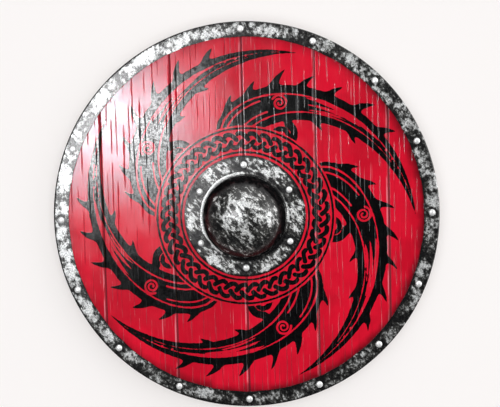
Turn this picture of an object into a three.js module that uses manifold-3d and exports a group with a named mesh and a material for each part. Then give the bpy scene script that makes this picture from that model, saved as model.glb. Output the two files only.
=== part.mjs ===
// A wooden round shield, lying on its back with the painted face up. Millimetres, +Z up.
// Six upright boards make the disc. A steel channel is nailed round its edge with rivets, and
// a domed steel boss covers the hand hole in the middle. A wooden grip crosses that hole at the
// back, held by the boss's top and bottom rivets. The shield rests on the grip's flat underside,
// so the origin is the middle of that underside. +Y is the top of the shield when it is carried.

import * as THREE from 'three';
import { mergeVertices } from 'three/addons/utils/BufferGeometryUtils.js';
import Module from 'manifold-3d';

const wasm = await Module();
wasm.setup();

// Driving dimensions
const shieldRadius = 305;
const touchGap = 0.3;
const roundSides = 72;

const board = { count: 6, pitch: 113, thickness: 11, faceBevel: 2.2, faceBevelDepth: 1.6, backBevel: 0.8 };
const handHoleRadius = 60;

const rim = {
  sheet: 1.4, bend: 2.2, bendSteps: 3, faceWidth: 24, backWidth: 18, jointAngle: 85.5, jointGap: 0.8,
};
const boss = {
  sheet: 1.6, flangeRadius: 96, edgeRound: 0.7, fillet: 4, filletMiddle: 0.35,
  wallRadius: 65.5, wallHeight: 9, height: 58, domeSteps: 8, sides: 48,
};
const grip = {
  length: 204, depth: 20, flatLength: 92, padStart: 69, waist: 30, endWidth: 46, padDepth: 9,
  lowerEdge: 5, upperEdge: 1.5, padEdge: 2.2, tipCut: 3,
};

const rivet = {
  headRadius: 5.3, headHeight: 3.1, shoulderRadius: 4.1, shoulderHeight: 2.1,
  shankRadius: 2.2, tailRadius: 4, tailTaper: 0.8, tailHeight: 1.5, sides: 8,
};
const rimRivets = { count: 16, circle: 293 };
const bossRivets = { count: 6, circle: 81.5, firstAngle: 30 };

// How far a drill or saw runs past the faces that it cuts
const cutBeyond = 5;

// Heights that follow from them
const boardBack = grip.depth + touchGap;
const boardFace = boardBack + board.thickness;
const boardRadius = shieldRadius - rim.sheet - touchGap;
const rimBack = boardBack - touchGap - rim.sheet;
const rimFace = boardFace + touchGap + rim.sheet;
const bossSeat = boardFace + touchGap;
const bossFace = bossSeat + boss.sheet;

// Materials
const redBoard = new THREE.MeshStandardMaterial({ color: 0xc81e34, roughness: 0.45, metalness: 0 });
const blackIron = new THREE.MeshStandardMaterial({ color: 0x6d6e70, roughness: 0.5, metalness: 0.7 });
const bareWood = new THREE.MeshStandardMaterial({ color: 0x8a6a45, roughness: 0.75, metalness: 0 });
const brightSteel = new THREE.MeshStandardMaterial({ color: 0xc9cacb, roughness: 0.35, metalness: 0.9 });

// Solids: three.js makes the shapes, manifold-3d joins and cuts them.
function solid(geometry) {
  const bare = geometry.index ? geometry.toNonIndexed() : geometry.clone();
  bare.deleteAttribute('normal');
  bare.deleteAttribute('uv');
  const merged = mergeVertices(bare, 1e-4);
  return new wasm.Manifold(new wasm.Mesh({
    numProp: 3,
    vertProperties: merged.attributes.position.array,
    triVerts: new Uint32Array(merged.index.array),
  }));
}

function geometryOf(shape) {
  const mesh = shape.getMesh();
  const geometry = new THREE.BufferGeometry();
  geometry.setAttribute('position', new THREE.BufferAttribute(new Float32Array(mesh.vertProperties), 3));
  geometry.setIndex(new THREE.BufferAttribute(new Uint32Array(mesh.triVerts), 1));
  const flat = geometry.toNonIndexed();
  flat.computeVertexNormals();
  return flat;
}

// An upright cylinder between two heights, with a corner on the +X axis
function uprightCylinder(radius, bottom, top, sides) {
  const geometry = new THREE.CylinderGeometry(radius, radius, top - bottom, sides);
  geometry.rotateX(Math.PI / 2);
  geometry.rotateZ(Math.PI / 2);
  geometry.translate(0, 0, (top + bottom) / 2);
  return solid(geometry);
}

// A profile of [radius, height] points turned about the Z axis, again with a corner on +X
function turned(profile, sides) {
  const points = profile.map(([radius, height]) => new THREE.Vector2(radius, height));
  const geometry = new THREE.LatheGeometry(points, sides);
  geometry.rotateX(Math.PI / 2);
  geometry.rotateZ(Math.PI / 2);
  return geometry;
}

// Points along an arc of a [radius, height] profile
function arcPoints(centre, radius, fromDegrees, toDegrees, steps) {
  return Array.from({ length: steps + 1 }, (_, i) => {
    const angle = THREE.MathUtils.degToRad(THREE.MathUtils.lerp(fromDegrees, toDegrees, i / steps));
    return [centre[0] + radius * Math.cos(angle), centre[1] + radius * Math.sin(angle)];
  });
}

// Rivet places, as angles in degrees round the shield
const rimRivetAngles = Array.from({ length: rimRivets.count }, (_, i) => (i * 360) / rimRivets.count);
const bossRivetAngles = Array.from({ length: bossRivets.count }, (_, i) =>
  bossRivets.firstAngle + (i * 360) / bossRivets.count);

function onCircle(radius, degrees) {
  const angle = THREE.MathUtils.degToRad(degrees);
  return [radius * Math.cos(angle), radius * Math.sin(angle)];
}

// One drill for every rivet hole on a circle
function drills(angles, circle) {
  const drillRadius = rivet.shankRadius + touchGap;
  return angles.map((angle) => {
    const [x, y] = onCircle(circle, angle);
    return uprightCylinder(drillRadius, -cutBeyond, bossFace + cutBeyond, rivet.sides).translate([x, y, 0]);
  });
}
const rimDrills = drills(rimRivetAngles, rimRivets.circle);
const bossDrills = drills(bossRivetAngles, bossRivets.circle);

function drilled(shape, holes) {
  return holes.reduce((rest, hole) => rest.subtract(hole), shape);
}

// Boards: a bevelled section run along Y, trimmed to the disc and cut for the hand hole
const boardDisc = uprightCylinder(boardRadius, boardBack, boardFace, roundSides);
const handHole = uprightCylinder(handHoleRadius, boardBack - cutBeyond, boardFace + cutBeyond, roundSides);

function boardShape(index) {
  const left = (index - board.count / 2) * board.pitch + touchGap / 2;
  const right = left + board.pitch - touchGap;
  const section = new THREE.Shape();
  section.moveTo(left + board.backBevel, boardBack);
  section.lineTo(right - board.backBevel, boardBack);
  section.lineTo(right, boardBack + board.backBevel);
  section.lineTo(right, boardFace - board.faceBevelDepth);
  section.lineTo(right - board.faceBevel, boardFace);
  section.lineTo(left + board.faceBevel, boardFace);
  section.lineTo(left, boardFace - board.faceBevelDepth);
  section.lineTo(left, boardBack + board.backBevel);
  section.closePath();
  const run = new THREE.ExtrudeGeometry(section, { depth: 2 * shieldRadius, bevelEnabled: false });
  run.rotateX(Math.PI / 2);
  run.translate(0, shieldRadius, 0);
  return drilled(solid(run).intersect(boardDisc).subtract(handHole), [...rimDrills, ...bossDrills]);
}

// Rim: a channel of bent sheet over the boards' edge, with its two ends butted near the top
function rimShape() {
  const bendIn = shieldRadius - rim.bend;
  const channel = shieldRadius - rim.sheet;
  const profile = [
    [shieldRadius - rim.faceWidth, rimFace - rim.sheet],
    [channel, rimFace - rim.sheet],
    [channel, rimBack + rim.sheet],
    [shieldRadius - rim.backWidth, rimBack + rim.sheet],
    [shieldRadius - rim.backWidth, rimBack],
    ...arcPoints([bendIn, rimBack + rim.bend], rim.bend, -90, 0, rim.bendSteps),
    ...arcPoints([bendIn, rimFace - rim.bend], rim.bend, 0, 90, rim.bendSteps),
    [shieldRadius - rim.faceWidth, rimFace],
    [shieldRadius - rim.faceWidth, rimFace - rim.sheet],
  ];
  const sawLength = rim.faceWidth + 2 * cutBeyond;
  const sawHeight = rimFace - rimBack + 2 * cutBeyond;
  const slit = new THREE.BoxGeometry(sawLength, rim.jointGap, sawHeight);
  slit.translate(shieldRadius - rim.faceWidth / 2, 0, (rimFace + rimBack) / 2);
  slit.rotateZ(THREE.MathUtils.degToRad(rim.jointAngle));
  return drilled(solid(turned(profile, roundSides)).subtract(solid(slit)), rimDrills);
}

// Boss: a flat flange, a short steep wall and a dome, all of one sheet. The inner surface is
// the outer one moved in by the sheet's thickness.
function bossProfile(inset) {
  const wallTop = bossFace + boss.wallHeight;
  const domeHeight = boss.height - boss.wallHeight - inset;
  const wall = boss.wallRadius - inset;
  const foot = bossFace - inset;
  const dome = arcPoints([0, 0], 1, 90, 0, boss.domeSteps).map(([across, up], i) =>
    [i === 0 ? 0 : wall * across, wallTop + domeHeight * up]);
  return [
    ...dome,
    [wall + boss.filletMiddle, foot + boss.fillet],
    [wall + boss.fillet * boss.filletMiddle, foot + boss.fillet * boss.filletMiddle],
    [wall + boss.fillet, foot],
  ];
}

function bossShape() {
  const outside = bossProfile(0);
  const inside = bossProfile(boss.sheet).reverse();
  const flangeEdge = [
    [boss.flangeRadius - boss.edgeRound, bossFace],
    [boss.flangeRadius, bossFace - boss.edgeRound],
    [boss.flangeRadius, bossSeat],
  ];
  const profile = [...outside, ...flangeEdge, ...inside].reverse();
  return drilled(solid(turned(profile, boss.sides)), bossDrills);
}

// Grip: a bar lofted along Y through eight-sided sections, thick and narrow in the middle,
// with a thin flat pad at each end that lies on the boards
function gripShape() {
  const half = grip.length / 2;
  const flatHalf = grip.flatLength / 2;
  const slope = grip.padStart - flatHalf;
  const outward = [
    0, flatHalf / 2, flatHalf, flatHalf + slope / 3, flatHalf + (2 * slope) / 3,
    grip.padStart, (grip.padStart + half) / 2, half - grip.tipCut, half,
  ];
  const along = [...outward.slice(1).reverse().map((y) => -y), ...outward];
  const rings = along.map((y) => {
    const climb = THREE.MathUtils.smoothstep(Math.abs(y), flatHalf, grip.padStart);
    const spread = (y / half) ** 2;
    const tip = Math.abs(y) === half ? grip.tipCut : 0;
    const side = THREE.MathUtils.lerp(grip.waist, grip.endWidth, spread) / 2 - tip;
    const low = THREE.MathUtils.lerp(0, grip.depth - grip.padDepth, climb) + tip / 2;
    const edge = THREE.MathUtils.lerp(grip.lowerEdge, grip.padEdge, climb);
    return [
      [-side + edge, low], [side - edge, low],
      [side, low + edge], [side, grip.depth - grip.upperEdge],
      [side - grip.upperEdge, grip.depth], [-side + grip.upperEdge, grip.depth],
      [-side, grip.depth - grip.upperEdge], [-side, low + edge],
    ].map(([x, z]) => [x, y, z]);
  });
  const corners = rings[0].length;
  const faces = [];
  for (let s = 0; s < rings.length - 1; s += 1) {
    for (let c = 0; c < corners; c += 1) {
      const a = s * corners + c;
      const b = s * corners + ((c + 1) % corners);
      faces.push(a, a + corners, b, b, a + corners, b + corners);
    }
  }
  const last = (rings.length - 1) * corners;
  for (let c = 1; c < corners - 1; c += 1) {
    faces.push(0, c, c + 1, last, last + c + 1, last + c);
  }
  const geometry = new THREE.BufferGeometry();
  geometry.setAttribute('position', new THREE.Float32BufferAttribute(rings.flat(2), 3));
  geometry.setIndex(faces);
  return drilled(solid(geometry), bossDrills);
}

// A rivet from the peened tail at z 0 up through its grip length to the domed head
function rivetGeometry(throughLength) {
  const seat = rivet.tailHeight + throughLength;
  return turned([
    [0, 0],
    [rivet.tailRadius - rivet.tailTaper, 0],
    [rivet.tailRadius, rivet.tailHeight],
    [rivet.shankRadius, rivet.tailHeight],
    [rivet.shankRadius, seat],
    [rivet.headRadius, seat],
    [rivet.shoulderRadius, seat + rivet.shoulderHeight],
    [0, seat + rivet.headHeight],
  ], rivet.sides);
}

// The parts, each its own named mesh
const shield = new THREE.Group();

function add(name, geometry, material, x = 0, y = 0, z = 0) {
  const mesh = new THREE.Mesh(geometry, material);
  mesh.name = name;
  mesh.position.set(x, y, z);
  shield.add(mesh);
}

for (let i = 0; i < board.count; i += 1) {
  add(`board_${i + 1}`, geometryOf(boardShape(i)), redBoard);
}
add('rim_channel', geometryOf(rimShape()), blackIron);
add('boss', geometryOf(bossShape()), blackIron);
add('grip', geometryOf(gripShape()), bareWood);

rimRivetAngles.forEach((angle, i) => {
  const [x, y] = onCircle(rimRivets.circle, angle);
  const length = rimFace - rimBack + 2 * touchGap;
  const bottom = rimBack - touchGap - rivet.tailHeight;
  add(`rim_rivet_${i + 1}`, rivetGeometry(length), brightSteel, x, y, bottom);
});

// The boss rivets on the shield's middle line also pass through the pads of the grip.
bossRivetAngles.forEach((angle, i) => {
  const [x, y] = onCircle(bossRivets.circle, angle);
  const onMiddleLine = Math.abs(x) < rivet.shankRadius;
  const tailSeat = (onMiddleLine ? grip.depth - grip.padDepth : boardBack) - touchGap;
  const length = bossFace + touchGap - tailSeat;
  add(`boss_rivet_${i + 1}`, rivetGeometry(length), brightSteel, x, y, tailSeat - rivet.tailHeight);
});

export default shield;
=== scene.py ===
import bpy
import math
import random
from functools import partial
import numpy as np
from mathutils import Matrix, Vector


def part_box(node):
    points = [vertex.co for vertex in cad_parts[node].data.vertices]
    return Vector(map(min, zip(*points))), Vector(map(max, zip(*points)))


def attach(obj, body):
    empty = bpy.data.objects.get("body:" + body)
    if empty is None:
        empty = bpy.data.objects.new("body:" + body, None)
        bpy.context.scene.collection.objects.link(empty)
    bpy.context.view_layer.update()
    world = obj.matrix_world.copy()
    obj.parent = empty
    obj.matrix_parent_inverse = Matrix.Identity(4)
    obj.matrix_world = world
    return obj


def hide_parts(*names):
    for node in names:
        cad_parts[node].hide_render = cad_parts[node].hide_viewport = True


# A wooden round shield, face up: six painted boards, a riveted iron rim, an iron boss, a wooden grip.
# Every size below is in millimetres unless a note says otherwise; the scene itself is in metres.

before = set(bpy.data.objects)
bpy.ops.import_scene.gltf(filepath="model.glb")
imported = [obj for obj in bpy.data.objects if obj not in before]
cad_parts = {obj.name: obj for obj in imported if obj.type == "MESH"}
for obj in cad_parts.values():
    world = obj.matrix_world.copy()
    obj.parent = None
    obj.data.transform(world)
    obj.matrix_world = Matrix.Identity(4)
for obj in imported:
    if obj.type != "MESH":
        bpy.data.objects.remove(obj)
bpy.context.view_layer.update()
mm = 0.001

# sizes read from the fixed frame, in millimetres
rimLow, rimHigh = [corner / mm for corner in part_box("rim_channel")]
bossLow, bossHigh = [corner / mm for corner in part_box("boss")]
gripLow, gripHigh = [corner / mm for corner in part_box("grip")]
boardLow, boardHigh = [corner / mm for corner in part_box("board_3")]
shieldRadius = rimHigh.x
faceHeight = boardHigh.z
backHeight = boardLow.z
boardCount = 6
boardInset = 1.7        # the rim's sheet and the clearance inside its bend
boardRadius = shieldRadius - boardInset
handHole = 60.0         # radius


# small helpers

def linear(hexColour):
    # an sRGB hex colour as the linear numbers that a shader takes
    channels = [int(hexColour[i:i + 2], 16) / 255 for i in (1, 3, 5)]
    bent = [c / 12.92 if c <= 0.04045 else ((c + 0.055) / 1.055) ** 2.4 for c in channels]
    return (*bent, 1.0)


def addNode(tree, kind, *values, out=0, **named):
    # adds one node and returns one of its outputs. Values go into its sockets in order; a name with
    # a capital letter is a socket too ("_" stands for a space), any other name is the node's own setting
    made = tree.nodes.new("ShaderNode" + kind)
    sockets = list(zip(made.inputs, values))
    for name, value in named.items():
        if name[0].isupper():
            sockets.append((made.inputs[name.replace("_", " ")], value))
        else:
            setattr(made, name, value)
    for socket, value in sockets:
        if isinstance(value, bpy.types.NodeSocket):
            tree.links.new(value, socket)
        else:
            socket.default_value = value
    return made.outputs[out] if made.outputs else made


times = {"operation": "MULTIPLY"}
plus = {"operation": "ADD"}
smooth = {"interpolation_type": "SMOOTHSTEP"}


def lumps(size):
    # the scale that gives a noise lumps of about this many millimetres
    return 1 / (size * mm)


def newMaterial(name):
    # an empty material, and addNode bound to its node tree
    material = bpy.data.materials.new(name)
    material.use_nodes = True
    material.node_tree.nodes.clear()
    return material, partial(addNode, material.node_tree)


def startFresh():
    if bpy.context.object and bpy.context.object.mode != "OBJECT":
        bpy.ops.object.mode_set(mode="OBJECT")
    bpy.ops.object.select_all(action="DESELECT")


def editOn(kind="VERT"):
    bpy.ops.object.mode_set(mode="EDIT")
    bpy.ops.mesh.select_mode(type=kind)


def editOff():
    bpy.ops.object.mode_set(mode="OBJECT")


def selectAll(action="SELECT"):
    bpy.ops.mesh.select_all(action=action)


def faceOutwards():
    selectAll()
    bpy.ops.mesh.normals_make_consistent(inside=False)


def points(piece):
    # all the piece's vertices, in millimetres; leaving edit mode brings them up to date
    editOff()
    flat = np.empty(len(piece.data.vertices) * 3)
    piece.data.vertices.foreach_get("co", flat)
    return flat.reshape(-1, 3) / mm


def away(places, x=0.0, y=0.0):
    # how far each point is from the middle of the shield, or from this place on it
    return np.hypot(places[:, 0] - x, places[:, 1] - y)


def degreesRound(places):
    return np.degrees(np.arctan2(places[:, 1], places[:, 0]))


def picked(piece):
    chosen = np.zeros(len(piece.data.vertices), bool)
    piece.data.vertices.foreach_get("select", chosen)
    return chosen


def faceCentres(piece):
    # the middle of each face, in metres
    centres = np.empty(len(piece.data.polygons) * 3)
    piece.data.polygons.foreach_get("center", centres)
    return centres.reshape(-1, 3)


def movePoints(piece, places):
    piece.data.vertices.foreach_set("co", (places * mm).ravel())
    piece.data.update()


def pick(piece, chosen):
    # selects just these vertices and goes to edit mode
    editOff()
    mesh = piece.data
    for part in (mesh.polygons, mesh.edges):
        part.foreach_set("select", np.zeros(len(part), bool))
    mesh.vertices.foreach_set("select", chosen)
    editOn()


def extrudeAlong(outline):
    # draws the selected ring out through each [radius, height] of an outline
    for (r1, z1), (r2, z2) in zip(outline, outline[1:]):
        bpy.ops.mesh.extrude_region_move(TRANSFORM_OT_translate={"value": (0, 0, (z2 - z1) * mm)})
        bpy.ops.transform.resize(value=(r2 / r1, r2 / r1, 1), center_override=(0, 0, 0))


def storeNumber(piece, name, values):
    layer = piece.data.attributes.get(name) or piece.data.attributes.new(name, "FLOAT", "POINT")
    layer.data.foreach_set("value", np.asarray(values, np.float32))


def applyAll(piece):
    for modifier in list(piece.modifiers):
        bpy.ops.object.modifier_apply(modifier=modifier.name)


def finishPiece(piece, name, replaced, materials, smoothAngle=35):
    # smooth shading, its materials, and its place on the frame
    startFresh()
    piece.select_set(True)
    bpy.context.view_layer.objects.active = piece
    bpy.ops.object.transform_apply(location=True, rotation=True, scale=True)
    bpy.ops.object.shade_smooth_by_angle(angle=math.radians(smoothAngle))
    piece.name = name
    piece.data.name = name
    for material in materials:
        piece.data.materials.append(material)
    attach(piece, "root")
    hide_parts(*replaced)


# camera, light and floor

view = {
    "lens": 68.4,            # on a 36 mm wide sensor
    "distance": 1500.0,
    "yaw": -2.83, "pitch": 4.03, "roll": 1.44,   # degrees
    "across": -8.0, "up": -20.2,
}


def addCamera():
    bpy.ops.object.camera_add()
    camera = bpy.context.object
    camera.name = "photo_camera"
    camera.data.lens = view["lens"]
    camera.data.sensor_width = 36
    camera.data.clip_end = 50
    turn = Matrix.Rotation(math.radians(view["roll"]), 4, "Z")
    turn = turn @ Matrix.Rotation(math.radians(view["pitch"]), 4, "X")
    turn = turn @ Matrix.Rotation(math.radians(view["yaw"]), 4, "Y")
    away = Matrix.Translation((view["across"] * mm, view["up"] * mm, -view["distance"] * mm))
    camera.matrix_world = Matrix.Translation((0, 0, faceHeight * mm)) @ (away @ turn).inverted()
    bpy.context.scene.camera = camera


softBoxes = {
    # name: (place in metres, aimed at in metres, width, height, watts, colour, what it gives)
    "key": ((-0.51, 0.145, 1.53), (-0.205, 0.132, 0.03), 0.41, 0.58, 9.0, "#f6f6f8", "glare"),
    "key_core": ((-0.52, 0.185, 1.52), (-0.21, 0.15, 0.03), 0.21, 0.28, 6.0, "#f6f6f8", "glare"),
    "right_box": ((1.50, 0.16, 1.03), (0.0, 0.0, 0.0), 0.75, 0.75, 14.0, "#ffffff", "glare"),
    "top_box": ((0.05, 1.30, 1.25), (0.0, 0.0, 0.0), 1.5, 0.9, 8.0, "#ffffff", "glare"),
    "fill": ((0.0, 0.0, 3.5), (0.0, 0.0, 0.0), 4.0, 4.0, 116.0, "#ffffff", "wash"),
}
room = {
    "overhead": "#181818",   # what a flat glossy face mirrors when it is seen from above
    "dimSide": "#606060",    # what a slanting face mirrors at the left and the bottom
    "brightSide": "#ffffff",
    "brightWay": (0.60, 0.72, 0.0), "strength": 1.25,
    "floorColour": "#c9c6c5", "floorGlow": 0.66, "floorSize": 14.0,
}


def addLights():
    for name, (place, aim, width, height, watts, tint, gives) in softBoxes.items():
        bpy.ops.object.light_add(type="AREA", location=place)
        light = bpy.context.object
        light.name = name
        light.data.shape = "RECTANGLE"
        light.data.size = width
        light.data.size_y = height
        light.data.energy = watts
        light.data.color = linear(tint)[:3]
        light.visible_diffuse = gives != "glare"
        light.visible_glossy = gives != "wash"
        light.data.cycles.use_multiple_importance_sampling = gives != "wash"
        way = Matrix.Translation(aim).translation - Matrix.Translation(place).translation
        light.rotation_euler = way.to_track_quat("-Z", "Y").to_euler()


def addRoom():
    world = bpy.data.worlds.new("studio")
    bpy.context.scene.world = world
    world.use_nodes = True
    world.node_tree.nodes.clear()
    add = partial(addNode, world.node_tree)
    way = add("TexCoord", out="Generated")
    height = add("SeparateXYZ", way, out="Z")
    side = add("VectorMath", way, room["brightWay"], out="Value", operation="DOT_PRODUCT")
    share = add("MapRange", side, -0.1, 0.8, **smooth)
    shade = add("MixRGB", share, linear(room["dimSide"]), linear(room["brightSide"]))
    climb = add("MapRange", height, 0.62, 0.92, **smooth)
    shade = add("MixRGB", climb, shade, linear(room["overhead"]))
    background = add("Background", shade, room["strength"])
    add("OutputWorld", background)

    bpy.ops.mesh.primitive_plane_add(size=room["floorSize"])
    floor = bpy.context.object
    floor.name = "floor"
    material, add = newMaterial("matt_studio_floor")
    shader = add("BsdfPrincipled", Base_Color=linear(room["floorColour"]), Roughness=0.9,
                 Emission_Color=linear(room["floorColour"]), Emission_Strength=room["floorGlow"])
    add("OutputMaterial", shader)
    floor.data.materials.append(material)


# the painted pattern: five thorny arms that whirl out of a plaited ring, black on red.
# Each line of it is a path with a half width at every point, and the boards store how far
# each point of their face is from the black paint's edge.

ring = {
    "inner": 99.5, "outer": 140.5, "line": 3.4, "gap": 2.6,
    "strands": 3, "waves": 14, "swing": 11.0, "strandHalf": 3.7, "cutBack": 5.6,
}
whirl = {
    "arms": 5, "footRadius": 132.0, "tipRadius": 268.0, "sweep": 98.0, "firstAngle": 97.0,
    "bodyHalf": 30.0, "flames": 7, "unevenness": 0.16, "blend": 6.0, "seed": 4,
}
paintReach = 14.0     # distances past this are all written as this


def onCircle(radius, degrees):
    return radius * math.cos(math.radians(degrees)), radius * math.sin(math.radians(degrees))


def distanceToStroke(places, stroke):
    path, halfWidths = stroke
    corners = np.array(path)
    margin = max(halfWidths) + paintReach
    low, high = corners.min(0) - margin, corners.max(0) + margin
    near = np.flatnonzero(((places > low) & (places < high)).all(1))
    best = np.full(len(places), paintReach)
    px, py = places[near, 0], places[near, 1]
    found = np.full(len(near), paintReach)
    for (ax, ay), (bx, by), wa, wb in zip(path, path[1:], halfWidths, halfWidths[1:]):
        dx, dy = bx - ax, by - ay
        along = np.clip(((px - ax) * dx + (py - ay) * dy) / (dx * dx + dy * dy + 1e-9), 0, 1)
        gap = np.hypot(px - ax - along * dx, py - ay - along * dy)
        np.minimum(found, gap - wa - (wb - wa) * along, out=found)
    best[near] = found
    return best


def nearest(places, strokes):
    best = np.full(len(places), paintReach)
    for stroke in strokes:
        np.minimum(best, distanceToStroke(places, stroke), out=best)
    return best


def armAt(t):
    # the arm's middle line at t from 0 to 1: place, direction, outward side and half width
    def middle(u):
        reach = whirl["tipRadius"] - whirl["footRadius"]
        angle = whirl["firstAngle"] - whirl["sweep"] * u ** 1.15
        return onCircle(whirl["footRadius"] + reach * u ** 0.8, angle)
    x, y = middle(t)
    (x1, y1), (x2, y2) = middle(max(0.0, t - 0.01)), middle(t + 0.01)
    length = math.hypot(x2 - x1, y2 - y1)
    dx, dy = (x2 - x1) / length, (y2 - y1) / length
    half = whirl["bodyHalf"] * math.sin(math.pi * min(1.0, 0.34 + 0.66 * t ** 0.8)) ** 0.95
    return (x, y), (dx, dy), (-dy, dx), half


def onArm(t, across, out=0.0, along=0.0):
    (x, y), (dx, dy), (nx, ny), half = armAt(t)
    side = across * half + out
    return x + nx * side + dx * along, y + ny * side + dy * along


def armLine(start, end, acrossStart, acrossEnd, half, taper, steps=28):
    shares = [i / steps for i in range(steps + 1)]
    path = [onArm(start + (end - start) * u, acrossStart + (acrossEnd - acrossStart) * u) for u in shares]
    thin = {
        "both": lambda u: math.sin(math.pi * u) ** 0.6,
        "end": lambda u: (1 - u) ** 0.5,
        "none": lambda u: 1,
    }
    return path, [half * thin[taper](u) for u in shares]


def curl(centre, fromRadius, toRadius, firstAngle, turns, fromHalf, toHalf, steps=40):
    path, halfWidths = [], []
    for u in [i / steps for i in range(steps + 1)]:
        x, y = onCircle(fromRadius + (toRadius - fromRadius) * u, firstAngle + 360 * turns * u)
        path.append((centre[0] + x, centre[1] + y))
        halfWidths.append(fromHalf + (toHalf - fromHalf) * u)
    return path, halfWidths


def dot(place, half):
    return [place, place], [half, half]


def thorn(t, across, reach, lean, root, steps=8):
    # a hooked thorn that grows from the arm's edge and leans along it
    shares = [i / steps for i in range(steps + 1)]
    path = [onArm(t, across, reach * u, lean * u * u - 7 + 4 * u) for u in shares]
    return path, [root * (1 - u) ** 0.75 for u in shares]


def armStrokes(draw):
    def uneven(size):
        return size * (1 + whirl["unevenness"] * (2 * draw.random() - 1))
    body = [([armAt(i / 34)[0] for i in range(35)], [armAt(i / 34)[3] for i in range(35)])]
    growth = []
    for i in range(whirl["flames"]):
        reach = uneven(13 + 13 * math.sin(math.pi * (i + 1) / 8))
        growth.append(thorn(0.10 + 0.105 * i, 0.8, reach, uneven(16), uneven(7.5)))
    for t, reach in ((0.50, 15), (0.66, 12)):
        growth.append(thorn(t, -0.8, -uneven(reach), 12, 6.0))
    shoot = curl(onArm(0.30, -1.0, -22), 21.0, 5.5, 62, -1.45, 6.0, 3.0)
    growth += [shoot, dot(shoot[0][-1], 4.8)]
    cuts = [
        armLine(0.0, 0.86, -0.70, -0.30, 1.5, "end"),
        armLine(0.0, 0.95, 0.74, 0.10, 1.5, "end"),
        armLine(0.02, 0.24, -0.34, -0.30, 1.3, "none"),
        armLine(0.02, 0.22, 0.38, 0.36, 1.3, "none"),
        curl(onArm(0.31, 0.04), 12.5, 2.2, 150, -1.9, 1.7, 1.4),
        armLine(0.42, 0.74, 0.34, 0.16, 3.4, "both"),
        armLine(0.43, 0.66, -0.05, -0.02, 2.4, "both"),
        armLine(0.44, 0.60, -0.36, -0.24, 1.6, "both"),
    ]
    cuts += [dot(onArm(0.775 + 0.035 * i, 0.12), 2.2 - 0.3 * i) for i in range(3)]
    return body, growth, cuts


def turnedStrokes(strokes, degrees):
    c, s = onCircle(1, degrees)
    return [([(x * c - y * s, x * s + y * c) for x, y in path], halfWidths) for path, halfWidths in strokes]


def plaitStrokes():
    # a plait of three strands round the boss, each stroke the stretch between two passes underneath
    middle = (ring["inner"] + ring["outer"]) / 2
    waves, strands = ring["waves"], ring["strands"]
    cutBack = ring["cutBack"] * waves / (2 * math.pi * middle)

    def swing(strand, u):
        return math.sin(2 * math.pi * (u + strand / strands))

    def slope(strand, u):
        return math.cos(2 * math.pi * (u + strand / strands))

    strokes = []
    for strand in range(strands):
        under = []
        for other in range(strands):
            for m in range(2 * waves if other != strand else 0):
                u = (0.25 + m / 2 - (strand + other) / (2 * strands)) % waves
                climbs = slope(strand, u) > slope(other, u)
                if climbs == (swing(strand, u) < 0):
                    under.append(u)
        under.sort()
        for start, end in zip(under, under[1:] + [under[0] + waves]):
            span = end - start - 2 * cutBack
            turns = [start + cutBack + span * i / 9 for i in range(10)]
            path = [onCircle(middle + ring["swing"] * swing(strand, u), 360 * u / waves) for u in turns]
            strokes.append((path, [ring["strandHalf"]] * 10))
    return strokes


def paintDistance(places):
    # millimetres to the edge of the black paint, below zero inside it
    draw = random.Random(whirl["seed"])
    radius = away(places)
    figure = np.full(len(places), paintReach)
    for arm in range(whirl["arms"]):
        angle = 360 * arm / whirl["arms"]
        body, growth, cuts = [nearest(places, turnedStrokes(s, angle)) for s in armStrokes(draw)]
        share = np.clip(0.5 + 0.5 * (growth - body) / whirl["blend"], 0, 1)
        joined = growth + (body - growth) * share - whirl["blend"] * share * (1 - share)
        np.minimum(figure, np.maximum(joined, -cuts), out=figure)
    figure = np.maximum(figure, ring["outer"] + ring["gap"] - radius)
    half = ring["line"] / 2
    bands = np.minimum(abs(radius - ring["outer"] + half), abs(radius - ring["inner"] - half)) - half
    return np.minimum(np.minimum(figure, bands), nearest(places, plaitStrokes()))


# boards

boards = {
    "rowSpacing": 1.3, "fillSpacing": 1.5,
    "edgeColumns": (0.0, 0.6, 1.2, 1.8, 2.4, 3.1),
    "laneColumns": (-1.1, -0.7, -0.35, 0.0, 0.35, 0.7, 1.1),
    "laneGap": (7.0, 12.5), "laneMargin": 6.5,
    "laneSway": 1.1, "laneSwayLength": (160, 420),
    "cutLength": (14, 105), "cutRest": (8, 85), "cutHalf": (0.4, 0.9), "cutDepth": 0.6, "cutTaper": 14,
    "laneReach": 3.2,        # a cut is looked for this far from its lane
    "shortestHalf": 6.0,     # no column of points is shorter than twice this
    "holeSnap": 2.5,         # points this near the hand hole's edge are moved onto it
    "seamKeep": 0.4,         # but none that is this near the middle seam
    "faceBevel": 2.4, "bevelDepth": 1.0, "backBevel": 0.8,
    "paintedEdge": 2.5,      # the paint runs this far down a board's sides
    "unevenFace": 0.07, "grainShift": 0.37, "seed": 21,
}


def boardColumns(left, right, draw):
    # lanes are the lines that the carved grain follows; columns crowd round them and the edges
    lanes = []
    x = left + draw.uniform(boards["laneMargin"], boards["laneMargin"] + 4)
    while x < right - boards["laneMargin"]:
        lanes.append(x)
        x += draw.uniform(*boards["laneGap"])
    fixed = [left + d for d in boards["edgeColumns"]] + [right - d for d in boards["edgeColumns"]]
    fixed += [lane + d for lane in lanes for d in boards["laneColumns"]]
    fixed.sort()
    columns = [fixed[0]]
    for x in fixed[1:]:
        start = columns[-1]
        steps = max(1, math.ceil((x - start) / boards["fillSpacing"]))
        columns += [start + (x - start) * i / steps for i in range(1, steps + 1)]
    return lanes, np.array(columns)


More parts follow.
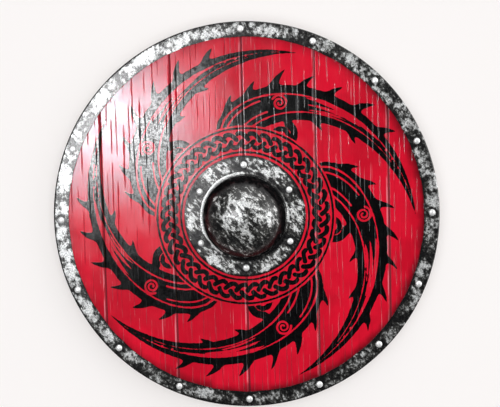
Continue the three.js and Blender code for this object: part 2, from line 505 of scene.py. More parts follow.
def laneSway(lanes, draw):
    # how far each lane sways sideways at height y
    waves = [(boards["laneSway"] * draw.uniform(0.4, 1.0), draw.uniform(*boards["laneSwayLength"]),
              draw.uniform(0, 2 * math.pi), draw.uniform(-0.2, 0.2), draw.uniform(30, 70)) for _ in lanes]
    return lambda y: [a * np.sin(2 * math.pi * y / length + phase) + b * np.sin(2 * math.pi * y / short)
                      for a, length, phase, b, short in waves]


def carve(offset, y, draw, height):
    # depth of one lane's cuts, for points at this sideways offset from the lane's middle
    depth = np.zeros(len(y))
    at = -height + draw.uniform(*boards["cutRest"]) * 0.5
    while at < height:
        length = draw.uniform(*boards["cutLength"])
        half = draw.uniform(*boards["cutHalf"])
        phase = draw.uniform(0, 6.3)
        ends = np.clip(np.minimum(y - at, at + length - y) / boards["cutTaper"], 0, 1) ** 0.6
        wide = half * ends * (0.85 + 0.15 * np.sin(y / 6 + phase)) + 1e-6
        share = np.clip(1 - abs(offset) / wide, 0, 1)
        deep = boards["cutDepth"] * (0.45 + 0.55 * half / boards["cutHalf"][1])
        np.maximum(depth, deep * ends * share ** 0.6 * (ends > 0), out=depth)
        at += length + draw.uniform(*boards["cutRest"])
    return depth


def unevenness(x, y, draw):
    # a gently wavy face, never above the true plane
    wave = np.zeros(len(x))
    for _ in range(7):
        slant = x / draw.uniform(30, 90) + y / draw.uniform(120, 400)
        wave += np.sin(2 * math.pi * slant + draw.uniform(0, 6.3))
    return boards["unevenFace"] * (np.tanh(wave / 4) - 1)


def makeBoard(index, paintedWood, bareWood):
    name = f"board_{index + 1}"
    low, high = [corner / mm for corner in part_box(name)]
    draw = random.Random(boards["seed"] + index)
    lanes, columns = boardColumns(low.x, high.x, draw)
    innerX = min(abs(low.x), abs(high.x)) if low.x * high.x > 0 else 0.0
    height = math.sqrt(boardRadius ** 2 - innerX ** 2)
    acrossSteps, upSteps = len(columns) - 1, round(2 * height / boards["rowSpacing"])
    shortest = boards["shortestHalf"] ** 2

    startFresh()
    bpy.ops.mesh.primitive_grid_add(x_subdivisions=acrossSteps, y_subdivisions=upSteps, size=2)
    piece = bpy.context.object
    grid = points(piece) * mm
    column = np.rint((grid[:, 0] + 1) / 2 * acrossSteps).astype(int)
    rise = np.rint((grid[:, 1] + 1) / 2 * upSteps) / upSteps * 2 - 1
    baseX = columns[column]
    y = rise * np.sqrt(np.maximum(boardRadius ** 2 - baseX ** 2, shortest))
    sways = np.array(laneSway(lanes, draw)(y))
    order = np.searchsorted(lanes, baseX)
    around = np.concatenate([np.zeros((1, len(y))), sways, np.zeros((1, len(y)))])
    anchors = np.array([low.x, *lanes, high.x])
    share = (baseX - anchors[order]) / (anchors[order + 1] - anchors[order])
    ids = np.arange(len(y))
    sway = around[order, ids] * (1 - share) + around[order + 1, ids] * share
    x = baseX + sway
    y = rise * np.sqrt(np.maximum(boardRadius ** 2 - x ** 2, shortest))

    cut = np.zeros(len(y))
    for lane, sideways in zip(lanes, sways):
        near = np.flatnonzero(abs(baseX - lane) < boards["laneReach"])
        cut[near] = np.maximum(cut[near], carve(x[near] - lane - sideways[near], y[near], draw, height))
    edge = np.minimum(x - low.x, high.x - x)
    bevel = boards["bevelDepth"] * np.clip(1 - edge / boards["faceBevel"], 0, 1) ** 1.2
    z = faceHeight + unevenness(x, y, draw) - np.maximum(cut, bevel)
    movePoints(piece, np.stack([x, y, z], 1))
    storeNumber(piece, "groove", cut / boards["cutDepth"])

    inHole = np.hypot(x, y) < handHole
    if inHole.any():
        pick(piece, inHole)
        bpy.ops.mesh.delete(type="VERT")
        selectAll()
        bpy.ops.mesh.region_to_loop()
        editOff()
        places = points(piece)
        radius = away(places)
        atHole = radius < handHole + boards["holeSnap"]
        holeEdge = picked(piece) & atHole & (abs(places[:, 0]) > boards["seamKeep"])
        places[holeEdge, :2] *= (handHole / radius[holeEdge])[:, None]
        movePoints(piece, places)

    # walls down to the back, with a small bevel along the seams, and the back itself
    editOn()
    selectAll()
    bpy.ops.mesh.region_to_loop()
    for level in (backHeight + boards["backBevel"], backHeight):
        bpy.ops.mesh.extrude_region_move()
        editOff()
        chosen = picked(piece)
        places = points(piece)
        places[chosen, 2] = level
        if level == backHeight:
            for side, inward in ((low.x, 1), (high.x, -1)):
                atSeam = chosen & (abs(places[:, 0] - side) < 0.2)
                places[atSeam, 0] += inward * boards["backBevel"]
        movePoints(piece, places)
        editOn()
    bpy.ops.mesh.fill(use_beauty=False)
    faceOutwards()
    editOff()

    places = points(piece)
    storeNumber(piece, "paint", paintDistance(places[:, :2]))
    storeNumber(piece, "board", np.full(len(places), index * boards["grainShift"]))
    storeNumber(piece, "seam_left", places[:, 0] - low.x)
    storeNumber(piece, "seam_right", high.x - places[:, 0])
    finishPiece(piece, name + "_painted", [name], [paintedWood, bareWood],
                smoothAngle=60)
    isBack = faceCentres(piece)[:, 2] < (faceHeight - boards["paintedEdge"]) * mm
    piece.data.polygons.foreach_set("material_index", isBack.astype(int))
    print("board", name, len(piece.data.vertices), "vertices")


# rim

rim = {
    "segments": 720, "faceWidth": 24.0, "backWidth": 18.0, "sheet": 1.4, "bend": 2.2,
    "faceRows": 10, "backRows": 5, "jointAngle": 85.5, "jointGap": 0.8,
    "wave": 0.22, "edgeWander": 0.45, "seed": 5,
}


def ringWave(angle, draw, low, high, count=9):
    # smooth noise round the shield, about -1 to 1
    wave = np.zeros(len(angle))
    for _ in range(count):
        wave += np.sin(draw.randint(low, high) * angle + draw.uniform(0, 6.3))
    return np.tanh(wave / math.sqrt(count))


def outerEdge(piece, level):
    # the ring of points at the shield's full radius at this height
    places = points(piece)
    return (abs(places[:, 2] - level) < 0.01) & (away(places) > shieldRadius - 0.1)


def makeRim(material):
    startFresh()
    height, middle = rimHigh.z - rimLow.z, (rimHigh.z + rimLow.z) / 2
    bpy.ops.mesh.primitive_cylinder_add(vertices=rim["segments"], radius=shieldRadius * mm,
                                        depth=height * mm, end_fill_type="NOTHING",
                                        location=(0, 0, middle * mm))
    piece = bpy.context.object
    bpy.ops.object.transform_apply(location=True)
    flatStart = rim["bend"] * 1.3      # the first row stands clear of the rounded bend
    for level, width, rows in ((rimHigh.z, rim["faceWidth"], rim["faceRows"]),
                               (rimLow.z, rim["backWidth"], rim["backRows"])):
        pick(piece, outerEdge(piece, level))
        steps = [flatStart + (width - flatStart) * row / (rows - 1) for row in range(rows)]
        extrudeAlong([(shieldRadius, level)] + [(shieldRadius - step, level) for step in steps])
    for level in (rimHigh.z, rimLow.z):
        pick(piece, outerEdge(piece, level))
        bpy.ops.mesh.select_mode(type="EDGE")
        bpy.ops.mesh.bevel(offset=rim["bend"] * mm, segments=5, affect="EDGES")
    editOff()

    # the two ends meet near the top of the shield with a hairline between them
    places = points(piece)
    angle = degreesRound(places) - rim["jointAngle"]
    step = 360 / rim["segments"]
    halfGap = math.degrees(rim["jointGap"] / 2 / shieldRadius)
    towards = np.where(abs(angle) < step * 0.75, np.sign(angle) * halfGap - angle, 0)
    radius = away(places)
    turned = np.radians(angle + towards + rim["jointAngle"])
    places[:, 0], places[:, 1] = radius * np.cos(turned), radius * np.sin(turned)
    movePoints(piece, places)
    editOn("FACE")
    selectAll("DESELECT")
    editOff()
    fromJoint = degreesRound(faceCentres(piece)) - rim["jointAngle"]
    piece.data.polygons.foreach_set("select", abs(fromJoint) < halfGap)
    editOn("FACE")
    bpy.ops.mesh.delete(type="FACE")
    editOff()

    # hand work: a wandering inner edge and a face that isn't quite flat
    draw = random.Random(rim["seed"])
    places = points(piece)
    radius = away(places)
    turned = np.arctan2(places[:, 1], places[:, 0])
    inward = np.clip((shieldRadius - radius) / rim["faceWidth"], 0, 1)
    wander = rim["edgeWander"] * ringWave(turned, draw, 5, 60) * inward ** 2
    swell = np.sin(math.pi * np.clip(inward * 1.2, 0, 1))
    lift = rim["wave"] * (ringWave(turned + inward * 0.04, draw, 12, 90) + 1) / 2 * swell
    onFace = places[:, 2] > middle
    scale = (radius + wander) / radius
    places[:, 0] *= scale
    places[:, 1] *= scale
    places[:, 2] += np.where(onFace, lift, -lift * 0.4)
    movePoints(piece, places)
    storeNumber(piece, "bare", rimBareness(places))
    sheet = piece.modifiers.new("sheet", "SOLIDIFY")
    sheet.thickness = rim["sheet"] * mm
    sheet.offset = -1
    sheet.use_even_offset = True
    applyAll(piece)
    finishPiece(piece, "rim_forged", ["rim_channel"], [material], smoothAngle=40)
    print("rim", len(piece.data.vertices), "vertices")


rimSilver = {
    # shares of silver rubbed on, 0.5 being half and half; angles in degrees, lengths in millimetres
    "least": 0.32, "midBand": 0.12,
    "ends": 0.06, "endsAngle": 25,
    # the worn share is wear and a painted highlight where the glare falls at the upper left
    "wearAndHighlight": 0.27, "wearAndHighlightAngle": 136, "wearAndHighlightSpread": 52,
    # the bend loses silver as painted shade at the lower left and keeps most at the upper right as a
    # painted highlight
    "bendWidth": 3.0, "bendLitAngle": 15,
    "innerLoss": 0.14, "innerWidth": 5.0,
    "rivetShadeLoss": 0.22, "rivetStep": 22.5, "rivetCircle": 293,
}
# round each rivet head a dark ring of patina and painted shade, this far from its middle and this wide
rivetRing, rivetRingWidth = 7.0, 2.0


def rivetShadow(beside, outward):
    # 1 on the dark ring round a rivet, falling to 0 on both sides of it
    gap = np.hypot(beside, outward)
    return np.exp(-((gap - rivetRing) / rivetRingWidth) ** 2)


def rimBareness(places):
    # most silver along the middle of the band, less at its inner edge and on the outer bend; extra silver
    # at the upper left is a painted highlight, and the bend keeps least silver at the lower left as painted
    # shade
    look = rimSilver
    radius, turned = away(places), degreesRound(places)
    inward = shieldRadius - radius
    bare = look["least"] + look["midBand"] * np.sin(math.pi * np.clip(inward / rim["faceWidth"], 0, 1))
    bare += look["ends"] * np.cos(np.radians(2 * (turned - look["endsAngle"])))
    # more silver towards the upper left, where the glare falls: wear and a painted highlight
    fromHighlight = (turned - look["wearAndHighlightAngle"] + 180) % 360 - 180
    bare += look["wearAndHighlight"] * np.exp(-(fromHighlight / look["wearAndHighlightSpread"]) ** 2)
    # the outer bend: black paint, darker at the lower left as painted shade and lighter at the upper right
    # as a painted highlight
    bendPaintAndShade = np.clip(0.4 - 0.5 * np.cos(np.radians(turned - look["bendLitAngle"])), 0.05, 0.9)
    bare -= bendPaintAndShade * np.clip(1 - inward / look["bendWidth"], 0, 1)
    bare -= look["innerLoss"] * np.clip(1 - (rim["faceWidth"] - inward) / look["innerWidth"], 0, 1)
    halfStep = look["rivetStep"] / 2
    beside = np.radians((turned + halfStep) % look["rivetStep"] - halfStep) * radius
    return bare - look["rivetShadeLoss"] * rivetShadow(beside, radius - look["rivetCircle"])


# boss

boss = {
    "segments": 160, "sheet": 1.6, "wallRadius": 65.5, "wallHeight": 9.0, "fillet": 4.0, "edgeRound": 0.7,
    "flangeRows": 12, "domeRows": 40, "seed": 9,
    "dents": 260, "dentDepth": 0.28, "dentSize": (4, 8),
}


def bossRings():
    # [radius, height] of each ring of the upper surface, from the flange's edge to the crown
    flange = bossLow.z + boss["sheet"]
    edge, wall, fillet = bossHigh.x, boss["wallRadius"], boss["fillet"]
    rings = [(edge, bossLow.z), (edge, flange - boss["edgeRound"])]
    rings += [(edge - boss["edgeRound"] * (1 - math.cos(a)), flange - boss["edgeRound"] * (1 - math.sin(a)))
              for a in (math.pi / 6, math.pi / 3, math.pi / 2)]
    inner = wall + fillet
    rows = boss["flangeRows"]
    rings += [(edge - boss["edgeRound"] - (edge - boss["edgeRound"] - inner) * i / rows, flange)
              for i in range(1, rows + 1)]
    rings += [(inner - fillet * math.sin(a), flange + fillet * (1 - math.cos(a)))
              for a in (math.pi / 12 * i for i in range(1, 7))]
    wallTop = flange + boss["wallHeight"]
    rings += [(wall, flange + fillet + (boss["wallHeight"] - fillet) * i / 3) for i in range(1, 4)]
    dome = bossHigh.z - wallTop
    rows = boss["domeRows"]
    rings += [(wall * math.cos(math.pi / 2 * i / rows), wallTop + dome * math.sin(math.pi / 2 * i / rows))
              for i in range(1, rows)]
    return rings


def makeBoss(material):
    startFresh()
    rings = bossRings()
    bpy.ops.mesh.primitive_circle_add(vertices=boss["segments"], radius=rings[0][0] * mm,
                                      location=(0, 0, rings[0][1] * mm))
    piece = bpy.context.object
    bpy.ops.object.transform_apply(location=True)
    editOn()
    selectAll()
    extrudeAlong(rings)
    bpy.ops.mesh.extrude_region_move()
    bpy.ops.mesh.merge(type="CENTER")
    faceOutwards()
    editOff()

    # shallow hammer marks, and the bareness of each place
    draw = random.Random(boss["seed"])
    places = points(piece)
    radius = away(places)
    crown = radius.argmin()
    places[crown] = (0, 0, bossHigh.z)
    dents = np.zeros(len(places))
    for _ in range(boss["dents"]):
        reach, angle = boss["wallRadius"] * math.sqrt(draw.random()), draw.uniform(0, 2 * math.pi)
        size = draw.uniform(*boss["dentSize"])
        gap = away(places, reach * math.cos(angle), reach * math.sin(angle))
        dents = np.maximum(dents, draw.uniform(0.3, 1) * np.clip(1 - (gap / size) ** 2, 0, 1) ** 2)
    onDome = np.clip((boss["wallRadius"] - radius) / 6, 0, 1)
    places[:, 2] -= boss["dentDepth"] * dents * onDome
    movePoints(piece, places)
    storeNumber(piece, "bare", bossBareness(places))
    if piece.data.vertices[crown].normal.z < 0:
        editOn()
        selectAll()
        bpy.ops.mesh.flip_normals()
        editOff()
    sheet = piece.modifiers.new("sheet", "SOLIDIFY")
    sheet.thickness = boss["sheet"] * mm
    sheet.offset = -1
    applyAll(piece)
    finishPiece(piece, "boss_domed", ["boss"], [material], smoothAngle=40)
    print("boss", len(piece.data.vertices), "vertices")


bossSilver = {
    # shares of silver as on the rim; places and radii in millimetres, angles in degrees
    "patch": (4, 9), "patchRadii": [0, 20, 34, 46, 60], "patchShares": [0.54, 0.52, 0.45, 0.36, 0.28],
    # the side patch is a painted highlight where the right lamp's highlight falls on the dome
    "highlightPatch": (38, 4), "highlightShare": 0.70, "highlightFade": 60,
    "footRadius": 55, "footSwing": 4, "footAngle": 70, "footLoss": 0.7, "footFade": 5,
    "flange": 0.475, "betweenRivets": 0.13, "upperLeftGlare": 0.01, "upperLeftGlareAngle": 135,
    "flangeRadii": [70, 74, 91, 95], "flangeLosses": [0.4, 0, 0, 0.35],
    "rivetShadeLoss": 0.15, "rivetStep": 60, "rivetCircle": 81.5,
    "lipRadius": 68.3, "lipWidth": 2.1, "domeRadius": 65,
}


def bossBareness(places):
    # dabs crowd on the upper middle of the dome and on the flange midway between the rivets;
    # the dome's foot stays black; a bright patch on the dome's right is a painted highlight
    look = bossSilver
    radius, turned = away(places), degreesRound(places)
    dome = np.interp(away(places, *look["patch"]), look["patchRadii"], look["patchShares"])
    # a painted highlight: more silver on the dome's right, where the right lamp shines
    dome = np.maximum(dome, look["highlightShare"] - away(places, *look["highlightPatch"]) / look["highlightFade"])
    foot = look["footRadius"] - look["footSwing"] * np.cos(np.radians(turned - look["footAngle"]))
    dome -= look["footLoss"] * np.clip((radius - foot) / look["footFade"], 0, 1)
    flange = look["flange"] + look["betweenRivets"] * np.cos(np.radians(6 * turned))
    # a painted highlight: a touch more silver at the upper left, where the glare falls
    flange += look["upperLeftGlare"] * np.cos(np.radians(turned - look["upperLeftGlareAngle"]))
    flange -= np.interp(radius, look["flangeRadii"], look["flangeLosses"])
    beside = np.radians(turned % look["rivetStep"] - look["rivetStep"] / 2) * radius
    flange -= look["rivetShadeLoss"] * rivetShadow(beside, radius - look["rivetCircle"])
    # a rubbed line along the fold at the dome's foot, brightened as a painted highlight at the left and
    # fainter at the right
    lipWearAndHighlight = np.exp(-((radius - look["lipRadius"]) / look["lipWidth"]) ** 2)
    leftLipHighlight = 1.5 * np.clip(1.6 - abs(turned % 360 - 160) / 60, 0, 1)
    rightLipHighlight = 0.55 * np.clip(1.2 - abs(turned - 10) / 50, 0, 1)
    lipWearAndHighlight *= np.maximum(leftLipHighlight, rightLipHighlight)
    return np.where(radius < look["domeRadius"], dome, flange + lipWearAndHighlight)


# rivets

rivets = {
    "head": 5.3, "headHeight": 3.3, "shank": 2.2, "tail": 4.0, "tailHeight": 1.5,
    "segments": 24, "rings": 14, "sink": 0.12, "seed": 3,
    "crownFlat": 0.35,       # how much the middle of the head is beaten down
    "tilt": 0.05, "widthVaries": 0.03,
}


def makeRivet(low, headSeat):
    # one rivet upright on the middle of the frame: head above headSeat, peened tail below
    startFresh()
    bpy.ops.mesh.primitive_uv_sphere_add(segments=rivets["segments"], ring_count=rivets["rings"],
                                         radius=rivets["head"] * mm)
    piece = bpy.context.object
    editOn()
    selectAll()
    bpy.ops.mesh.bisect(plane_co=(0, 0, 0), plane_no=(0, 0, 1), clear_inner=True)
    editOff()
    places = points(piece)
    places[:, 2] *= rivets["headHeight"] / rivets["head"]
    flatter = np.clip(places[:, 2] / rivets["headHeight"], 0, 1)
    places[:, 2] -= rivets["crownFlat"] * flatter ** 6
    places[:, 2] += headSeat
    movePoints(piece, places)
    pick(piece, abs(places[:, 2] - headSeat) < 0.01)
    tailSeat = low.z + rivets["tailHeight"]
    outline = [(rivets["head"], headSeat), (rivets["shank"], headSeat), (rivets["shank"], tailSeat),
               (rivets["tail"], tailSeat), (rivets["tail"] * 0.97, low.z + 0.6),
               (rivets["tail"] * 0.75, low.z + 0.1), (rivets["tail"] * 0.4, low.z)]
    extrudeAlong(outline)
    bpy.ops.mesh.edge_face_add()
    faceOutwards()
    editOff()
    return piece


def makeRivets(material):
    draw = random.Random(rivets["seed"])
    names = [f"rim_rivet_{i + 1}" for i in range(16)] + [f"boss_rivet_{i + 1}" for i in range(6)]
    patterns = {}
    for name in names:
        low, high = [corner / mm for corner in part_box(name)]
        seat = (rimHigh.z if name.startswith("rim") else bossLow.z + boss["sheet"]) - rivets["sink"]
        key = (round(low.z, 2), round(seat, 2))
        if key not in patterns:
            patterns[key] = makeRivet(low, seat)
        copy = patterns[key].copy()
        copy.data = patterns[key].data.copy()
        bpy.context.collection.objects.link(copy)
        places = points(copy)
        angle = draw.uniform(0, 2 * math.pi)
        wide = draw.uniform(1 - rivets["widthVaries"], 1 + rivets["widthVaries"])
        tiltX, tiltY = [draw.uniform(-rivets["tilt"], rivets["tilt"]) for _ in range(2)]
        c, s = math.cos(angle) * wide, math.sin(angle) * wide
        x, y = places[:, 0] * c - places[:, 1] * s, places[:, 0] * s + places[:, 1] * c
        dome = np.clip((places[:, 2] - seat) / rivets["headHeight"], 0, 1)
        places[:, 2] += dome * (tiltX * x + tiltY * y)
        places[:, 0] = x + (low.x + high.x) / 2
        places[:, 1] = y + (low.y + high.y) / 2
        movePoints(copy, places)
        # silver on the head's top, black at its base: rubbed wear, with painted shade where the head meets
        # the plate
        storeNumber(copy, "bare", 0.25 + 0.75 * np.clip(dome * 1.6, 0, 1))
        finishPiece(copy, name + "_peened", [name], [material], smoothAngle=50)
    for pattern in patterns.values():
        bpy.data.objects.remove(pattern)
    print("rivets", len(names))


# grip

grip = {
    "waist": 30.0, "endWidth": 46.0, "padDepth": 9.0, "flatLength": 92.0, "padStart": 69.0,
    "steps": 48, "lowerEdge": 5.0, "lowerSegments": 6, "upperEdge": 1.5, "upperSegments": 3,
}


def makeGrip(material):
    startFresh()
    half, depth = gripHigh.y, gripHigh.z - gripLow.z
    bpy.ops.mesh.primitive_cube_add(size=1, location=(0, 0, depth / 2 * mm),
                                    scale=(grip["waist"] * mm, 2 * half * mm, depth * mm))
    piece = bpy.context.object
    bpy.ops.object.transform_apply(location=True, scale=True)
    editOn()
    for i in range(1, grip["steps"]):
        selectAll()
        bpy.ops.mesh.bisect(plane_co=(0, (2 * half * i / grip["steps"] - half) * mm, 0), plane_no=(0, 1, 0))
    editOff()
    places = points(piece)
    out = abs(places[:, 1])
    climb = np.clip((out - grip["flatLength"] / 2) / (grip["padStart"] - grip["flatLength"] / 2), 0, 1)
    climb = climb * climb * (3 - 2 * climb)
    side = (grip["waist"] + (grip["endWidth"] - grip["waist"]) * (out / half) ** 2) / 2
    places[:, 0] = np.sign(places[:, 0]) * side
    isLow = places[:, 2] < depth / 2
    places[isLow, 2] = (climb * (depth - grip["padDepth"]))[isLow]
    movePoints(piece, places)
    editOn("EDGE")
    selectAll("DESELECT")
    editOff()
    ends = np.empty(len(piece.data.edges) * 2, int)
    piece.data.edges.foreach_get("vertices", ends)
    ends = ends.reshape(-1, 2)
    runsLong = abs(places[ends[:, 0], 1] - places[ends[:, 1], 1]) > 0.5
    bothLow = isLow[ends[:, 0]] & isLow[ends[:, 1]]
    piece.data.edges.foreach_set("select", runsLong & bothLow)
    editOn("EDGE")
    bpy.ops.mesh.bevel(offset=grip["lowerEdge"] * mm, segments=grip["lowerSegments"], affect="EDGES",
                       clamp_overlap=False)
    editOff()
    softer = piece.modifiers.new("edges", "BEVEL")
    softer.width = grip["upperEdge"] * mm
    softer.segments = grip["upperSegments"]
    softer.limit_method = "ANGLE"
    softer.angle_limit = math.radians(50)
    applyAll(piece)
    finishPiece(piece, "grip_shaped", ["grip"], [material], smoothAngle=40)
    print("grip", len(piece.data.vertices), "vertices")


# materials

def objectPlace(add, stretch=(1, 1, 1), turn=0.0, shift=(0, 0, 0)):
    # the object's own coordinates in metres, for a pattern that is turned and drawn out this many times
    coordinates = add("TexCoord", out="Object")
    return add("Mapping", coordinates, shift, Rotation=(0, 0, turn), Scale=stretch, vector_type="TEXTURE")


enamel = {
    "red": "#de1430", "deepRed": "#c81029", "ribRed": "#a81025",
    "black": "#060607", "ribBlack": "#121214",
    # the cut colours below are painted shade inside the cuts
    "cutShadeRed": "#b0162c", "cutShadeBlack": "#040404", "paleRed": "#e32c43",
    # the worn colours below are rubbed wear and painted highlights
    "wornAndGlintRed": "#e58a95", "wornAndGlintBlack": "#747476", "sheenRed": "#9ef8ff",
    # the seam colour below is dirt and painted shade in the vee
    "seamDirtAndShade": "#7a2531", "paintedRimShade": "#3c0a10",
    # the last colour above and these radii give painted shade by the rim
    "seamWidth": 2.3, "paintedShadeStart": 266.0, "paintedShadeEnd": 284.0,
}


def paintedPine():
    # brushed gloss enamel over carved pine: a deep wet-looking red and black that glare turns white,
    # with fine brush ribs, a leathery skin, rubbed edges on the cuts that are also painted highlights,
    # painted shade in the cuts and seams, and painted shade by the rim
    look = {name: linear(value) for name, value in enamel.items() if isinstance(value, str)}
    material, add = newMaterial("gloss_enamel_on_pine")
    place = objectPlace(add)
    wobble = add("TexNoise", place, Scale=lumps(9), Detail=2)
    wobble = add("Math", wobble, 2.2, -1.1, operation="MULTIPLY_ADD")
    edge = add("Attribute", out="Fac", attribute_name="paint")
    edge = add("Math", edge, wobble, **plus)
    black = add("MapRange", edge, 0.25, -0.25, **smooth)
    groove = add("Attribute", out="Fac", attribute_name="groove")

    # the two colours, uneven where the brush left them thin
    blotch = add("TexNoise", place, Scale=lumps(70), Detail=3)
    ribs = add("TexNoise", objectPlace(add, (1, 32, 1)), Scale=lumps(2.4), Detail=4, Roughness=0.6)
    full = add("MapRange", blotch, 0.4, 0.62, **smooth)
    red = add("MixRGB", full, look["deepRed"], look["red"])
    thin = add("MapRange", ribs, 0.5, 0.75, 0.0, 0.4, **smooth)
    red = add("MixRGB", thin, red, look["ribRed"])
    pale = add("MapRange", ribs, 0.42, 0.25, 0.0, 0.4, **smooth)
    red = add("MixRGB", pale, red, look["paleRed"])
    ink = add("MapRange", ribs, 0.5, 0.8, **smooth)
    ink = add("MixRGB", ink, look["black"], look["ribBlack"])
    colour = add("MixRGB", black, red, ink)
    # the light colour for rubbed wear and painted highlights
    wearAndHighlight = add("MixRGB", black, look["wornAndGlintRed"], look["wornAndGlintBlack"])

    # thin light streaks along the grain, in patches: rubbed wear and painted highlights of the glints on
    # the groove walls
    wearAndGlintStreak = add("TexNoise", objectPlace(add, (1, 42, 1)), Scale=lumps(2.6), Detail=1.5)
    wearAndGlintStreak = add("MapRange", wearAndGlintStreak, 0.66, 0.72, **smooth)
    patch = add("TexNoise", place, Scale=lumps(60), Detail=2)
    patch = add("MapRange", patch, 0.42, 0.62, 0.0, 0.55, **smooth)
    colour = add("MixRGB", add("Math", wearAndGlintStreak, patch, **times), colour, wearAndHighlight)

    # the cuts: painted shade inside, and a rubbed lip beside that is also a painted highlight
    deep = add("MapRange", groove, 0.1, 0.45, **smooth)
    inCut = add("MixRGB", black, look["cutShadeRed"], look["cutShadeBlack"])
    colour = add("MixRGB", deep, colour, inCut)
    lipWearAndHighlight = add("Math", add("MapRange", groove, 0.0, 0.12, **smooth),
              add("MapRange", groove, 0.4, 0.2, **smooth), **times)
    broken = add("TexNoise", objectPlace(add, (1, 8, 1)), Scale=lumps(5), Detail=3)
    broken = add("MapRange", broken, 0.42, 0.62, 0.0, 0.5, **smooth)
    colour = add("MixRGB", add("Math", lipWearAndHighlight, broken, **times), colour, wearAndHighlight)

    # the seams: dirt in the vee with painted shade, most on the side that falls to the left, and a light
    # line beside it that is a painted highlight
    fromLeft = add("Attribute", out="Fac", attribute_name="seam_left")
    fromRight = add("Attribute", out="Fac", attribute_name="seam_right")
    width = enamel["seamWidth"]
    seamDarkening = add("MixRGB", black, look["seamDirtAndShade"], look["cutShadeBlack"])
    leftSide = add("MapRange", fromLeft, width, width - 0.5, 0.0, 0.92, **smooth)
    rightSide = add("MapRange", fromRight, width, width - 0.5, 0.0, 0.55, **smooth)
    dirtAndShade = add("Math", leftSide, rightSide, operation="MAXIMUM")
    colour = add("MixRGB", dirtAndShade, colour, seamDarkening)
    # a painted highlight: a light line beside the seam, where the vee's slope catches the lamp
    line = add("Math", fromRight, width + 0.1, operation="SUBTRACT")
    line = add("Math", line, operation="ABSOLUTE")
    line = add("MapRange", line, 1.4, 0.6, 0.0, 1.5, **smooth)
    line = add("Math", line, broken, use_clamp=True, **times)
    colour = add("MixRGB", line, colour, wearAndHighlight)

    # painted shade by the rim: darker towards the rim, most at the lower right
    flat = add("VectorMath", place, (1, 1, 0), **times)
    radius = add("VectorMath", flat, out="Value", operation="LENGTH")
    aside = add("VectorMath", place, (0.75, -0.6, 0), out="Value", operation="DOT_PRODUCT")
    lean = add("MapRange", aside, -0.2, 0.25, 0.25, 1.0, **smooth)
    ragged = add("TexNoise", place, Scale=lumps(26), Detail=3)
    ragged = add("Math", ragged, 0.02, -0.01, operation="MULTIPLY_ADD")
    paintedRimShade = add("Math", radius, ragged, **plus)
    paintedShadeStart, paintedShadeEnd = enamel["paintedShadeStart"] * mm, enamel["paintedShadeEnd"] * mm
    paintedRimShade = add("MapRange", paintedRimShade, paintedShadeStart, paintedShadeEnd, 0.0, 0.8, **smooth)
    colour = add("MixRGB", add("Math", paintedRimShade, lean, **times), colour, look["paintedRimShade"])

    # gloss that breaks up into a leathery skin
    skin = add("TexNoise", place, Scale=lumps(3.0), Detail=3, Roughness=0.65)
    gloss = add("MapRange", skin, 0.35, 0.62, 0.14, 0.72, **smooth)
    gloss = add("MixRGB", black, (0.55, 0.55, 0.55, 1), gloss)
    seam = add("Math", fromLeft, fromRight, operation="MINIMUM")
    seam = add("MapRange", seam, width, width - 0.6, **smooth)
    deep = add("Math", deep, seam, operation="MAXIMUM")
    dull = add("TexNoise", place, Scale=lumps(30), Detail=4)
    dull = add("MapRange", dull, 0.3, 0.7, 0.15, 0.22, **smooth)
    dull = add("Math", deep, 0.3, dull, operation="MULTIPLY_ADD")
    gloss = add("MixRGB", deep, gloss, (0.08, 0.08, 0.08, 1))
    bump = add("Bump", Height=ribs, Distance=0.1 * mm, Strength=0.5)
    rough = add("Math", skin, black, **times)
    bump = add("Bump", Height=rough, Distance=0.08 * mm, Strength=0.5, Normal=bump)
    untinted = add("MapRange", edge, 1.1, 0.3, **smooth)
    sheen = add("MixRGB", untinted, look["sheenRed"], (1, 1, 1, 1))
    shader = add("BsdfPrincipled", Base_Color=colour, Roughness=dull, Specular_IOR_Level=gloss,
                 Specular_Tint=sheen, Normal=bump)
    add("OutputMaterial", shader)
    return material


def sawnWood(name, light, dark, ringWidth):
    # bare sawn wood, pine or ash: pale with straight darker growth lines and a soft matt face
    material, add = newMaterial(name)
    board = add("Attribute", out="Fac", attribute_name="board")
    shift = add("CombineXYZ", board, board, 0.0)
    rings = add("TexWave", objectPlace(add, (1, 20, 2.5), shift=shift), out="Fac",
                Scale=lumps(ringWidth) / 6.28, Distortion=11.0, Detail=3.0, Detail_Scale=0.35,
                bands_direction="X", wave_profile="SAW")
    fibre = add("TexNoise", objectPlace(add, (1, 28, 1.7), shift=shift), Scale=lumps(1.4),
                Detail=4, Roughness=0.65)
    fading = add("TexNoise", objectPlace(add, (1, 7, 1), shift=shift), Scale=lumps(26), Detail=2)
    fading = add("MapRange", fading, 0.35, 0.65, 0.25, 0.9, **smooth)
    rings = add("Math", add("MapRange", rings, 0.2, 0.95, **smooth), fading, **times)
    colour = add("MixRGB", rings, linear(light), linear(dark))
    darker = add("MapRange", fibre, 0.45, 0.75, 0.0, 0.5, **smooth)
    colour = add("MixRGB", darker, colour, linear(dark))
    tone = add("TexWhiteNoise", shift, out="Value")
    colour = add("MixRGB", add("Math", tone, 0.35, **times), colour, linear(dark))
    stain = add("TexNoise", objectPlace(add), Scale=lumps(60), Detail=4)
    stain = add("MapRange", stain, 0.4, 0.75, 0.0, 0.4, **smooth)
    colour = add("MixRGB", stain, colour, linear("#4a3420"))
    bump = add("Bump", Height=fibre, Distance=0.25 * mm, Strength=0.6)
    dull = add("MapRange", fibre, 0.3, 0.8, 0.55, 0.8, **smooth)
    shader = add("BsdfPrincipled", Base_Color=colour, Roughness=dull, Normal=bump)
    add("OutputMaterial", shader)
    return material


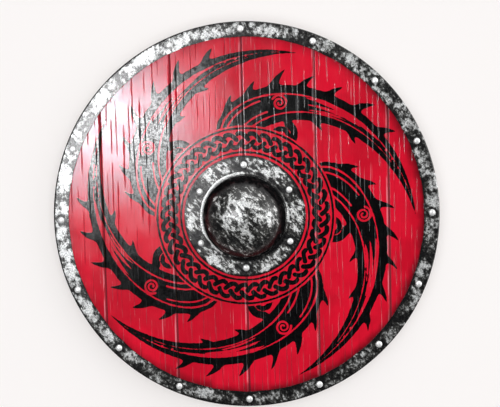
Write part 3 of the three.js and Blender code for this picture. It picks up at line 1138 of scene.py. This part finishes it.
rubbed = {
    # patch and dab are sizes in mm; weights say how much each breaks up the silver's edge,
    # and edge where the silver starts and where it is full
    "rim": {
        "patch": 26, "patchWeight": 1.1, "dab": 6.5, "dabWeight": 1.7, "stretch": 1.3, "turn": 20,
        "edge": (-0.10, 0.18), "smear": 0.3, "metal": 0.5,
        "ink": ("#09090a", "#1e1e1f"), "silver": ("#85888a", "#eaebea"),
    },
    "boss": {
        "patch": 20, "patchWeight": 0.8, "dab": 6.5, "dabWeight": 2.3, "stretch": 1.9, "turn": 40,
        "edge": (-0.05, 0.17), "smear": 0.38, "metal": 0.35,
        "ink": ("#060607", "#1c1c1d"), "silver": ("#8f9192", "#f0f1f0"),
    },
    "rivet": {
        "patch": 9, "patchWeight": 0.3, "dab": 3, "dabWeight": 0.4, "stretch": 1.0, "turn": 0,
        "edge": (-0.05, 0.1), "smear": 0.3, "metal": 0.5,
        "ink": ("#0b0b0c", "#262627"), "silver": ("#dcdddd", "#ffffff"),
    },
}


def rubbedIron(kind, name):
    # steel painted black and rubbed back in dabs: soft black hollows, a grey smear round them and
    # ragged bright dabs that glare where they face the lamp
    look = rubbed[kind]
    material, add = newMaterial(name)
    place = objectPlace(add)
    level = add("Attribute", out="Fac", attribute_name="bare")
    level = add("Math", level, 0.5, operation="SUBTRACT")
    patches = add("TexNoise", place, Scale=lumps(look["patch"]), Detail=2, Distortion=0.5)
    dabs = add("TexNoise", objectPlace(add, (1, look["stretch"], 1), math.radians(look["turn"])),
               Scale=lumps(look["dab"]), Detail=6, Roughness=0.74, Distortion=0.2)
    for pattern, weight in ((patches, look["patchWeight"]), (dabs, look["dabWeight"])):
        pattern = add("Math", pattern, weight, -0.5 * weight, operation="MULTIPLY_ADD")
        level = add("Math", level, pattern, **plus)
    silver = add("MapRange", level, *look["edge"], **smooth)
    smear = add("MapRange", level, -0.3, 0.02, 0.0, look["smear"], **smooth)

    grit = add("TexNoise", place, Scale=lumps(2.2), Detail=3, Roughness=0.7)
    ink = add("MapRange", grit, 0.4, 0.7, **smooth)
    ink = add("MixRGB", ink, *map(linear, look["ink"]))
    bright = add("MapRange", grit, 0.3, 0.65, **smooth)
    bright = add("MixRGB", bright, *map(linear, look["silver"]))
    colour = add("MixRGB", smear, ink, linear("#666662"))
    colour = add("MixRGB", silver, colour, bright)
    relief = add("Math", grit, 0.5, silver, operation="MULTIPLY_ADD")
    bump = add("Bump", Height=relief, Distance=0.12 * mm, Strength=0.7)
    metal = add("Math", silver, look["metal"], **times)
    dull = add("MapRange", silver, 0.0, 1.0, 0.26, 0.42)
    gloss = add("MapRange", level, -0.8, -0.25, 0.0, 0.5)
    shader = add("BsdfPrincipled", Base_Color=colour, Metallic=metal, Roughness=dull,
                 Specular_IOR_Level=gloss, Normal=bump)
    add("OutputMaterial", shader)
    return material


# the scene

bpy.context.scene.view_settings.view_transform = "Standard"
addCamera()
addLights()
addRoom()
print("camera, light and floor")

paintedWood = paintedPine()
boardBackWood = sawnWood("sawn_pine_back", "#c49a63", "#8d6336", 4.0)
gripWood = sawnWood("oiled_ash_grip", "#a87a49", "#5f3f22", 3.0)
rimIron = rubbedIron("rim", "rubbed_iron_rim")
bossIron = rubbedIron("boss", "rubbed_iron_boss")
rivetSteel = rubbedIron("rivet", "rubbed_steel_rivet")
print("materials")

for index in range(boardCount):
    makeBoard(index, paintedWood, boardBackWood)
makeRim(rimIron)
makeBoss(bossIron)
makeRivets(rivetSteel)
makeGrip(gripWood)
